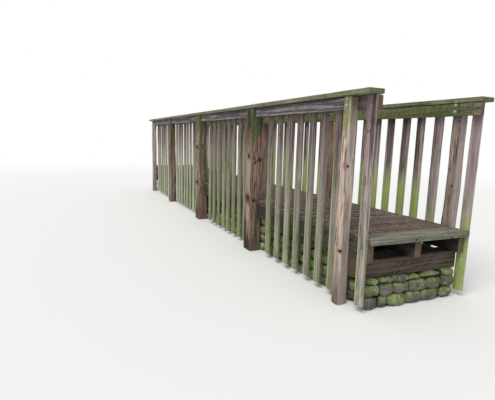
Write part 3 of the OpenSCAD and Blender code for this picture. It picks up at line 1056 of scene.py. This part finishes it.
skew = skewOf("end_board_near")
skewAngle = -math.atan(skew)
deckLook = {"footShare": 0.0, "wetFoot": 0.0, "arrisStart": 0.8, "wetEnd": 0.05,
            "endLight": paint(78, 66, 57), "endDark": paint(44, 37, 33), "algaeDark": paint(58, 66, 48),
            "dirt": paint(40, 30, 28), "dirtLight": paint(200, 164, 142), "dirtScale": 34.0}
deckBoard = finish(
    "deckBoard", **deckLook, dark=paint(44, 34, 34), light=paint(142, 121, 116), odd=paint(84, 73, 71),
    fibre=paint(132, 119, 116), ring=paint(50, 42, 40), wetArris=0.18, wetNarrow=0.16,
    algaeLight=paint(104, 112, 90), dirtShare=0.6)
endBoard = finish(
    "endBoard", **deckLook, dark=paint(76, 75, 63), light=paint(142, 142, 124), odd=paint(122, 122, 104),
    fibre=paint(150, 150, 138), ring=paint(66, 64, 58), wetAll=0.3, wetArris=0.1, wetNarrow=0.1,
    algaeLight=paint(112, 122, 96), dirtShare=0.18)


def laidAcross(name, start, width, halfSpan, low, high, kind, chance):
    # a board turned to the skew, its ends sawn in line with the balustrades
    look = boardSettings[kind]
    reach = halfSpan + width
    slack = look["slack"]
    board = addBlock(name, (slack - width / 2, -reach, low), (width / 2 - slack, reach, high))
    nameSurface(board, alongX, alongZ, alongY)
    board.rotation_euler.z = skewAngle
    board.location.x = start + width / 2
    placeInMesh(board)
    for way in (1, -1):
        sawOff(board, (0, way * halfSpan, 0), (0, way, 0))
    nameEnds(board, alongY)
    wearArrises(board, look["arris"])
    cutAcross(board, alongY, look["cuts"])
    weather(board, look, alongY)
    setTone(board, chance.random(), chance.random(), chance.random())
    return board


def crossSpans(node):
    # start and width of each cross piece of a node, measured on the middle line of the bridge
    points = nodePoints(node)
    far = max(p.y for p in points)
    places = sorted({round(p.x - skew * far, 4) for p in points if p.y > far - benchSettings["sameEnd"]})
    return [(places[i], places[i + 1] - places[i]) for i in range(0, len(places), 2)]


deckNodes = ["end_board_near"] + ["deck_boards_%d" % bay for bay in range(1, 5)] + ["end_board_far"]
deckCount = 0
for number, node in enumerate(deckNodes):
    low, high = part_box(node)
    chance = random.Random(20 + number)
    parts = []
    for start, width in crossSpans(node):
        drop = chance.uniform(0, boardSettings["deck"]["drop"])
        parts.append(laidAcross("%s_%d" % (node, len(parts)), start, width, high.y, low.z - drop,
                                high.z - drop, "deck", chance))
    deckCount += len(parts)
    finishPiece(joinAll(node + "Planks", parts), endBoard if node.startswith("end") else deckBoard,
                [node])
print("deck boards laid:", deckCount)

for number, node in enumerate(("sill_near", "sill_far", "crossbeam")):
    low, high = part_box(node)
    start, width = crossSpans(node)[0]
    beam = laidAcross(node + "Beam", start, width, high.y, low.z, high.z, "beam", random.Random(80 + number))
    finishPiece(beam, sillTimber, [node])
print("stringers, sills and crossbeam in place")


# stone abutments

stoneSettings = {"cuts": 2, "round": 0.5, "joint": 0.014, "shortest": 0.09, "longest": 0.25,
                 "depth": 0.14, "frontDepth": 0.24, "lump": 0.040, "grain": 0.012, "floorGap": 0.004,
                 "tilt": 3.5, "jointSpread": (0.3, 1.5), "thinnest": 0.02, "depthSpread": (0.8, 1.1),
                 "coreInset": 0.034, "coreDrop": 0.012, "coreLap": 0.1, "sameLevel": 0.001}


def stoneMaterial():
    material, tree, shader, here = startMaterial("mossyStone")
    tone = split(tree, stored(tree, "boardTone"))
    up = split(tree, put(tree, "ShaderNodeNewGeometry").outputs["Normal"])[2]
    stone = mixed(tree, ramp(tree, cloudy(tree, here, 14.0, 5.0, 0.7), 0.35, 0.65),
                  paint(70, 66, 62), paint(132, 128, 120))
    stone = mixed(tree, times(tree, tone[0], 0.6), stone, paint(108, 92, 78))
    pits = ramp(tree, cloudy(tree, here, 90.0, 3.0, 0.6), 0.42, 0.3)
    stone = mixed(tree, times(tree, pits, 0.6), stone, paint(52, 48, 44))
    wet = add(tree, 0.5, times(tree, up, 0.2), times(tree, add(tree, tone[1], -0.5), 0.34))
    film = useGroup(tree, algaeGroup, {"Vector": here, "Wetness": wet, "Patch": 9.0, "Softness": 0.2})
    fluff = cloudy(tree, here, 260.0, 3.0, 0.7)
    green = mixed(tree, film["Tint"], paint(74, 88, 52), paint(146, 164, 100))
    # pale fluff over the moss: partly paler moss tips, partly a painted highlight on them
    green = mixed(tree, ramp(tree, fluff, 0.4, 0.62, 0.0, 0.55), green, paint(172, 188, 130))
    green = mixed(tree, ramp(tree, cloudy(tree, here, 17.0, 3.0, 0.5), 0.46, 0.62, 0.0, 0.55), green,
                  paint(54, 60, 44))
    stone = mixed(tree, film["Mask"], stone, green)
    lichen = useGroup(tree, speckGroup, {"Vector": here, "Scale": 34.0, "Share": 0.14, "Size": 0.3})
    stone = mixed(tree, times(tree, lichen["Mask"], 0.7), stone, paint(188, 190, 176))
    height = add(tree, times(tree, cloudy(tree, here, 60.0, 5.0, 0.7), 0.7), times(tree, pits, -0.4),
                 times(tree, film["Mask"], fluff, 0.9))
    feedInputs(tree, shader, {
        "Specular IOR Level": 0.25, "Base Color": stone, "Normal": bumped(tree, height, 0.8, 0.006),
        "Roughness": ramp(tree, film["Mask"], 0.0, 1.0, 0.82, 0.97)})
    return material


def packedEarthMaterial():
    material, tree, shader, here = startMaterial("packedEarth")
    earth = mixed(tree, ramp(tree, cloudy(tree, here, 22.0, 5.0, 0.7), 0.35, 0.65),
                  paint(38, 34, 30), paint(70, 62, 52))
    film = useGroup(tree, algaeGroup, {"Vector": here, "Wetness": 0.42, "Patch": 12.0, "Softness": 0.2})
    earth = mixed(tree, times(tree, film["Mask"], 0.6), earth, paint(66, 78, 40))
    grit = useGroup(tree, speckGroup, {"Vector": here, "Scale": 70.0, "Share": 0.3, "Size": 0.4})
    earth = mixed(tree, times(tree, grit["Mask"], 0.6), earth, paint(104, 98, 88))
    height = add(tree, cloudy(tree, here, 70.0, 5.0, 0.7), times(tree, grit["Mask"], 0.5))
    feedInputs(tree, shader, {
        "Specular IOR Level": 0.2, "Base Color": earth, "Normal": bumped(tree, height, 0.9, 0.006),
        "Roughness": ramp(tree, film["Mask"], 0.0, 1.0, 0.9, 0.98)})
    return material


mossyStone = stoneMaterial()
packedEarth = packedEarthMaterial()


def modelStone():
    stone = addBlock("stoneMaster", (-0.5, -0.5, -0.5), (0.5, 0.5, 0.5))

    def roundCorners():
        bpy.ops.mesh.select_all(action="SELECT")
        bpy.ops.mesh.subdivide(number_cuts=stoneSettings["cuts"])
        bpy.ops.transform.tosphere(value=stoneSettings["round"])
    inEditMode(stone, "faces", roundCorners)
    return stone


def placeStone(master, low, high, angle, chance):
    # low and high are corners in the wall's own slanted grid
    middle = (Vector(low) + Vector(high)) / 2
    size = Vector(high) - Vector(low)
    stone = copyOf(master, "stone")
    joint = stoneSettings["joint"]
    stone.scale = [max(s - joint * chance.uniform(*stoneSettings["jointSpread"]), stoneSettings["thinnest"])
                   for s in size]
    tilt = math.radians(stoneSettings["tilt"])
    stone.rotation_euler = (chance.uniform(-tilt, tilt), chance.uniform(-tilt, tilt),
                            angle + chance.uniform(-tilt, tilt))
    stone.location = (middle.x + skew * middle.y, middle.y, middle.z)
    placeInMesh(stone)
    setTone(stone, chance.random(), chance.random(), chance.random())
    return stone


def rowOf(start, end, chance):
    # random lengths that fill a row from start to end
    lengths = []
    while sum(lengths) < end - start:
        lengths.append(chance.uniform(stoneSettings["shortest"], stoneSettings["longest"]))
    scale = (end - start) / sum(lengths)
    spots, here = [], start
    for length in lengths:
        spots.append((here, here + length * scale))
        here += length * scale
    return spots


def courseFronts(node):
    # height and front of each course of the near abutment, from the steps of its CAD solid
    points = nodePoints(node)
    half = max(p.y for p in points)
    back = min(p.x - skew * p.y for p in points)
    steps = [p for p in points if p.x - skew * p.y > back + 1]
    levels = sorted({round(p.z, 3) for p in steps})
    fronts = [(low, high, max(p.x - skew * p.y for p in steps if abs(p.z - high) < stoneSettings["sameLevel"]))
              for low, high in zip(levels, levels[1:])]
    return half, back, fronts


def modelCore(half, back, low, high, front):
    # the dark packed heart that closes the joints between the stones
    inset = stoneSettings["coreInset"]
    core = addBlock("core", (back - 1, inset - half, low), (front + 1, half - inset, high))
    placeInMesh(core)
    for place, way in ((back + inset, -1), (front - inset, 1)):
        sawOff(core, (place, 0, 0), Vector((way, -way * skew, 0)))
    return core


def buildAbutment():
    half, back, courses = courseFronts("abutment_near")
    seatLow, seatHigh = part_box("sill_near")
    seat, seatEnd = seatLow.z, seatHigh.x - skew * seatHigh.y
    master = modelStone()
    stones, cores = [], []
    chance = random.Random(5)
    depth, floorGap, level = (stoneSettings[name] for name in ("depth", "floorGap", "sameLevel"))
    for low, high, front in courses:
        base = max(low, floorGap)
        frontBack = front - stoneSettings["frontDepth"]
        # a course the seat cuts through is laid in two stretches, one above it only past the sill
        if low < seat - level < high - level:
            stretches = [(back, seatEnd, seat), (seatEnd, frontBack, high)]
        elif high < seat + level:
            stretches = [(back, frontBack, min(high, seat))]
        else:
            stretches = [(seatEnd, frontBack, high)]
        for start, end, top in stretches:
            for way in (1, -1):
                for a, b in rowOf(start, end, chance):
                    behind = half - depth * chance.uniform(*stoneSettings["depthSpread"])
                    inner, outer = sorted((way * half, way * behind))
                    stones.append(placeStone(master, (a, inner, base), (b, outer, top), 0, chance))
            cores.append(modelCore(half, start, base, top - stoneSettings["coreDrop"],
                                   front if end == frontBack else end + stoneSettings["coreLap"]))
        start, _, top = stretches[0]
        for a, b in rowOf(-half + depth, half - depth, chance):
            stones.append(placeStone(master, (start, a, base), (start + depth, b, top), skewAngle, chance))
        for a, b in rowOf(-half, half, chance):
            stones.append(placeStone(master, (frontBack, a, base), (front, b, high), skewAngle, chance))
    discard(master)
    return joinAll("abutmentStones_near", stones), joinAll("abutmentCore_near", cores)


def finishAbutment(end, wall, heart):
    placeInMesh(wall)
    roughen(wall, "stoneLump", stoneSettings["lump"], "stone")
    roughen(wall, "stoneGrain", stoneSettings["grain"], "stone")
    for piece in (wall, heart):
        for v in piece.data.vertices:
            v.co.z = max(v.co.z, 0.0)
    node = "abutment_" + end
    finishPiece(wall, mossyStone, [node], 70)
    finishPiece(heart, packedEarth, [node], 30)


wall, heart = buildAbutment()
farWall, farHeart = copyOf(wall, "abutmentStones_far"), copyOf(heart, "abutmentCore_far")
for piece in (farWall, farHeart):
    piece.rotation_euler.z = math.pi
    placeInMesh(piece)
finishAbutment("near", wall, heart)
finishAbutment("far", farWall, farHeart)
print("abutments laid:", len(wall.data.polygons), "faces each")


# bolts, washers and nails

boltSettings = {"sides": 16, "washer": 0.016, "washerThickness": 0.0025, "head": 0.009,
                "headHeight": 0.0055, "dome": 0.0055, "rimWear": 0.0008, "heights": (1.640, 1.586),
                "sway": 0.008, "sunk": 0.0006, "fromInside": 0.2, "fromOutside": 0.9}
nailSettings = {"sides": 10, "radius": 0.004, "height": 0.0015, "rimWear": 0.001,
                "lower": (0.505, 0.445), "upper": (1.628, 1.585), "sway": 0.015, "endSway": 0.01}


def boltMaterial():
    material, tree, shader, here = startMaterial("galvanisedSteel")
    rust = ramp(tree, cloudy(tree, here, 120.0, 4.0, 0.7), 0.48, 0.62)
    spangle = put(tree, "ShaderNodeTexVoronoi", {"Vector": here, "Scale": 420.0}).outputs["Color"]
    zinc = mixed(tree, ramp(tree, split(tree, spangle)[0], 0.0, 1.0), paint(150, 150, 148), paint(186, 187, 186))
    feedInputs(tree, shader, {
        "Base Color": mixed(tree, times(tree, rust, 0.75), zinc, paint(112, 78, 58)),
        "Metallic": ramp(tree, rust, 0.0, 1.0, 0.85, 0.1), "Roughness": ramp(tree, rust, 0.0, 1.0, 0.42, 0.85)})
    return material


def modelBolt():
    look = boltSettings
    deselectAll()
    bpy.ops.mesh.primitive_cylinder_add(vertices=look["sides"], radius=look["washer"],
                                        depth=look["washerThickness"],
                                        location=(0, 0, look["washerThickness"] / 2))
    bolt = bpy.context.active_object
    bolt.name = "boltMaster"
    placeInMesh(bolt)
    top = look["washerThickness"]
    markFaces(bolt, lambda centre, way: way.z > 0.9)

    def raiseHead():
        bpy.ops.mesh.inset(thickness=look["washer"] - look["head"])
        bpy.ops.mesh.extrude_region_move(TRANSFORM_OT_translate={"value": (0, 0, look["headHeight"])})
    inEditMode(bolt, "faces", raiseHead)
    markEdges(bolt, lambda a, b: min(a.z, b.z) > top + look["headHeight"] * 0.9)
    inEditMode(bolt, "edges", lambda: bpy.ops.mesh.bevel(offset=look["dome"], segments=3, affect="EDGES"))
    markEdges(bolt, lambda a, b: abs(a.z - top) < 1e-4 and abs(b.z - top) < 1e-4
              and a.xy.length > look["washer"] * 0.95 and b.xy.length > look["washer"] * 0.95)
    inEditMode(bolt, "edges", lambda: bpy.ops.mesh.bevel(offset=look["rimWear"], segments=1, affect="EDGES"))
    return bolt


def modelNail():
    look = nailSettings
    deselectAll()
    bpy.ops.mesh.primitive_cylinder_add(vertices=look["sides"], radius=look["radius"],
                                        depth=look["height"] * 2)
    nail = bpy.context.active_object
    nail.name = "nailMaster"
    markEdges(nail, lambda a, b: min(a.z, b.z) > 0)
    inEditMode(nail, "edges", lambda: bpy.ops.mesh.bevel(offset=look["rimWear"], segments=1, affect="EDGES"))
    return nail


def setFixing(master, piece, x, way, z, inward=False):
    # fastens a copy to the surface of a piece, seen from outside or from the walkway
    facing = Vector((0, -way if inward else way, 0))
    start = Vector((x, way * boltSettings["fromInside" if inward else "fromOutside"], z))
    _, spot, _, _ = piece.ray_cast(start, -facing)
    fixing = copyOf(master, master.name + "Copy")
    fixing.rotation_euler = facing.to_track_quat("Z", "Y").to_euler()
    fixing.location = spot - facing * boltSettings["sunk"]
    placeInMesh(fixing)
    return fixing


galvanised = boltMaterial()
bolt, nail = modelBolt(), modelNail()
bpy.context.view_layer.update()
chance = random.Random(12)
for side, way in sides.items():
    parts = []
    rail = bpy.data.objects["innerRail_" + side]
    for number in range(1, 6):
        node = "post_%s_%d" % (side, number)
        low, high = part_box(node)
        log = bpy.data.objects[node + "Log"]
        for height in boltSettings["heights"]:
            x = (low.x + high.x) / 2 + chance.uniform(-boltSettings["sway"], boltSettings["sway"])
            if number in (1, 5):
                parts.append(setFixing(bolt, log, x, way, height))
            parts.append(setFixing(bolt, rail, x, way, height, True))
    lower, upper = nailSettings["lower"], nailSettings["upper"]
    places = [("pickets_%s_%d" % (side, bay), lower, nailSettings["sway"]) for bay in range(1, 5)]
    places += [("end_picket_%s_%s" % (side, end), upper + lower, nailSettings["endSway"])
               for end in ("near", "far")]
    for node, heights, sway in places:
        boards = bpy.data.objects[node + "Boards"]
        for start, end in solidSpans(node):
            for height in heights:
                x = (start + end) / 2 + chance.uniform(-sway, sway)
                parts.append(setFixing(nail, boards, x, way, height))
    finishPiece(joinAll("fixings_" + side, parts), galvanised, [], 40)
discard(bolt, nail)
print("bolts and nails set")


# floor, light and camera

studioSettings = {"floorSize": 120, "floorDrop": 0.002, "floorColour": (0.82, 0.82, 0.81, 1), "floorRough": 0.9,
                  "fadeFrom": 5.5, "fadeTo": 16.0, "skyColour": (0.93, 0.97, 1.0, 1), "skyStrength": 0.56,
                  "sunEnergy": 2.2, "sunSpread": 35, "sunColour": (1.0, 0.98, 0.94),
                  "sunWay": (0.35, -0.62, -1.0)}
deselectAll()
bpy.ops.mesh.primitive_plane_add(size=studioSettings["floorSize"], location=(0, 0, -studioSettings["floorDrop"]))
floor = bpy.context.active_object
floor.name = "studioFloor"
floorPaint, tree, shader, spot = startMaterial("studioFloorPaint")
feedInputs(tree, shader, {"Base Color": studioSettings["floorColour"], "Roughness": studioSettings["floorRough"]})
white = put(tree, "ShaderNodeEmission", {"Color": (1, 1, 1, 1), "Strength": 1.0})
fading = ramp(tree, lengthOf(tree, spot), studioSettings["fadeFrom"], studioSettings["fadeTo"])
fade = put(tree, "ShaderNodeMixShader", {0: fading, 1: shader.outputs[0], 2: white.outputs[0]})
tree.links.new(fade.outputs[0], tree.nodes["Material Output"].inputs[0])
floor.data.materials.append(floorPaint)

world = scene.world or bpy.data.worlds.new("studioSky")
scene.world = world
world.use_nodes = True
tree = world.node_tree
tree.nodes.clear()
path = put(tree, "ShaderNodeLightPath")
seen = maths(tree, "MAXIMUM", path.outputs["Is Camera Ray"],
             maths(tree, "MAXIMUM", path.outputs["Is Glossy Ray"], path.outputs["Is Transmission Ray"]))
soft = put(tree, "ShaderNodeBackground", {"Color": studioSettings["skyColour"],
                                         "Strength": studioSettings["skyStrength"]})
plain = put(tree, "ShaderNodeBackground", {"Color": (1, 1, 1, 1), "Strength": 1.0})
either = put(tree, "ShaderNodeMixShader", {0: seen, 1: soft.outputs[0], 2: plain.outputs[0]})
tree.links.new(either.outputs[0], put(tree, "ShaderNodeOutputWorld").inputs[0])

deselectAll()
bpy.ops.object.light_add(type="SUN", location=(0, 0, 8))
sun = bpy.context.active_object
sun.name = "skyLight"
sun.data.energy = studioSettings["sunEnergy"]
sun.data.angle = math.radians(studioSettings["sunSpread"])
sun.data.color = studioSettings["sunColour"]
sun.rotation_euler = Vector(studioSettings["sunWay"]).to_track_quat("-Z", "Y").to_euler()

scene.view_settings.view_transform = "Standard"

cameraSettings = {"place": (-5.847, 2.558, 1.330), "yaw": -25.69, "pitch": -9.20, "roll": 1.40,
                  "focalPixels": 386.3, "imageWidth": 495, "sensor": 36, "clipEnd": 200}
deselectAll()
bpy.ops.object.camera_add(location=cameraSettings["place"])
camera = bpy.context.active_object
camera.name = "photographView"
yaw = math.radians(cameraSettings["yaw"])
pitch = math.radians(cameraSettings["pitch"])
ahead = Vector((math.cos(yaw) * math.cos(pitch), math.sin(yaw) * math.cos(pitch), math.sin(pitch)))
level = ahead.to_track_quat("-Z", "Y").to_matrix()
camera.rotation_euler = (level @ Matrix.Rotation(math.radians(cameraSettings["roll"]), 3, "Z")).to_euler()
camera.data.sensor_width = cameraSettings["sensor"]
camera.data.lens = cameraSettings["focalPixels"] / cameraSettings["imageWidth"] * camera.data.sensor_width
camera.data.clip_end = cameraSettings["clipEnd"]
scene.camera = camera
print("floor, light and camera set")

discard(*guides.values())
